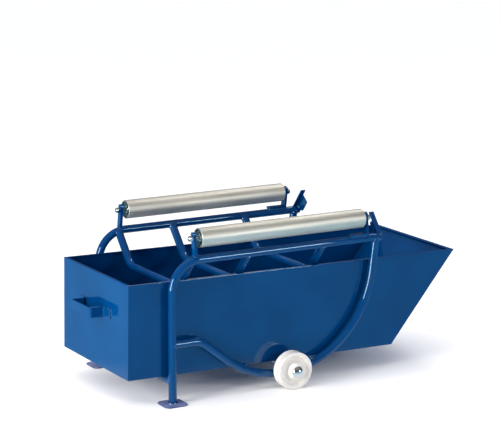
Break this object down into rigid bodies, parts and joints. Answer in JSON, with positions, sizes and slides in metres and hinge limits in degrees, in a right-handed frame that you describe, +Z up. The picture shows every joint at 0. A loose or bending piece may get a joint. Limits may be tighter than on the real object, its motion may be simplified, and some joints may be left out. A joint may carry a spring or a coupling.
{
  "type": "drum dispensing cradle",
  "caption": "Welded tube cradle that holds a steel drum on its side on long rollers, with rocker tubes, wheels and a pull-out drip tray with a sloping rear wall and a bow handle.",
  "frame": {"origin": "on the floor, under the middle of the cradle's length and width", "axes": "+X towards the rear, away from the tray's handle; +Y towards the far side; +Z up"},
  "size_m": [1.3136, 0.6892, 0.5677],
  "materials": {
    "frame_enamel": "gloss blue enamel",
    "tray_enamel": "gloss blue enamel",
    "roller_zinc": "zinc plated",
    "bright_steel": "zinc plated",
    "dark_steel": "dark pressed steel",
    "chrome": "polished",
    "white_nylon": "satin moulding",
    "black_plastic": "matt insert"
  },
  "bodies": {
    "frame": {"wheel_axle": "bright_steel", "front_cross_tube": "frame_enamel", "middle_cross_tube": "frame_enamel", "rear_cross_tube": "frame_enamel", "front_tray_bar": "frame_enamel", "rear_tray_bar": "frame_enamel", "rail_end_caps": "black_plastic", "wheel_washers": "bright_steel", "axle_caps": "chrome", "roller_lock_nuts": "bright_steel", "roller_cap_nuts": "bright_steel", "near_side_tube": "frame_enamel", "near_foot_plate": "frame_enamel", "near_rocker_tube": "frame_enamel", "near_front_lug": "frame_enamel", "near_rear_lug": "frame_enamel", "near_drum_stop": "frame_enamel", "near_roller_axle": "bright_steel", "far_side_tube": "frame_enamel", "far_foot_plate": "frame_enamel", "far_rocker_tube": "frame_enamel", "far_front_lug": "frame_enamel", "far_rear_lug": "frame_enamel", "far_drum_stop": "frame_enamel", "far_roller_axle": "bright_steel"},
    "tray": {"tray_floor": "tray_enamel", "tray_front_wall": "tray_enamel", "tray_rear_wall": "tray_enamel", "tray_near_wall": "tray_enamel", "tray_far_wall": "tray_enamel", "tray_handle": "tray_enamel"},
    "near_wheel": {"near_wheel": "white_nylon"},
    "near_roller": {"near_roller_tube": "roller_zinc", "near_roller_housings": "dark_steel", "near_roller_bearings": "bright_steel"},
    "far_wheel": {"far_wheel": "white_nylon"},
    "far_roller": {"far_roller_tube": "roller_zinc", "far_roller_housings": "dark_steel", "far_roller_bearings": "bright_steel"}
  },
  "joints": [
    {"name": "tray_slide", "type": "slide", "parent": "frame", "child": "tray", "axis": [-0.9999, 0, 0.0162], "range_m": [0, 0.32]},
    {"name": "near_roller_spin", "type": "hinge", "parent": "frame", "child": "near_roller", "pos_m": [-0.04562, -0.258, 0.536], "axis": [1, 0, 0], "continuous": true},
    {"name": "near_wheel_spin", "type": "hinge", "parent": "frame", "child": "near_wheel", "pos_m": [-0.03112, -0.29925, 0.0625], "axis": [0, 1, 0], "continuous": true},
    {"name": "far_roller_spin", "type": "hinge", "parent": "frame", "child": "far_roller", "pos_m": [-0.04562, 0.258, 0.536], "axis": [1, 0, 0], "continuous": true},
    {"name": "far_wheel_spin", "type": "hinge", "parent": "frame", "child": "far_wheel", "pos_m": [-0.03112, 0.29925, 0.0625], "axis": [0, 1, 0], "continuous": true}
  ]
}
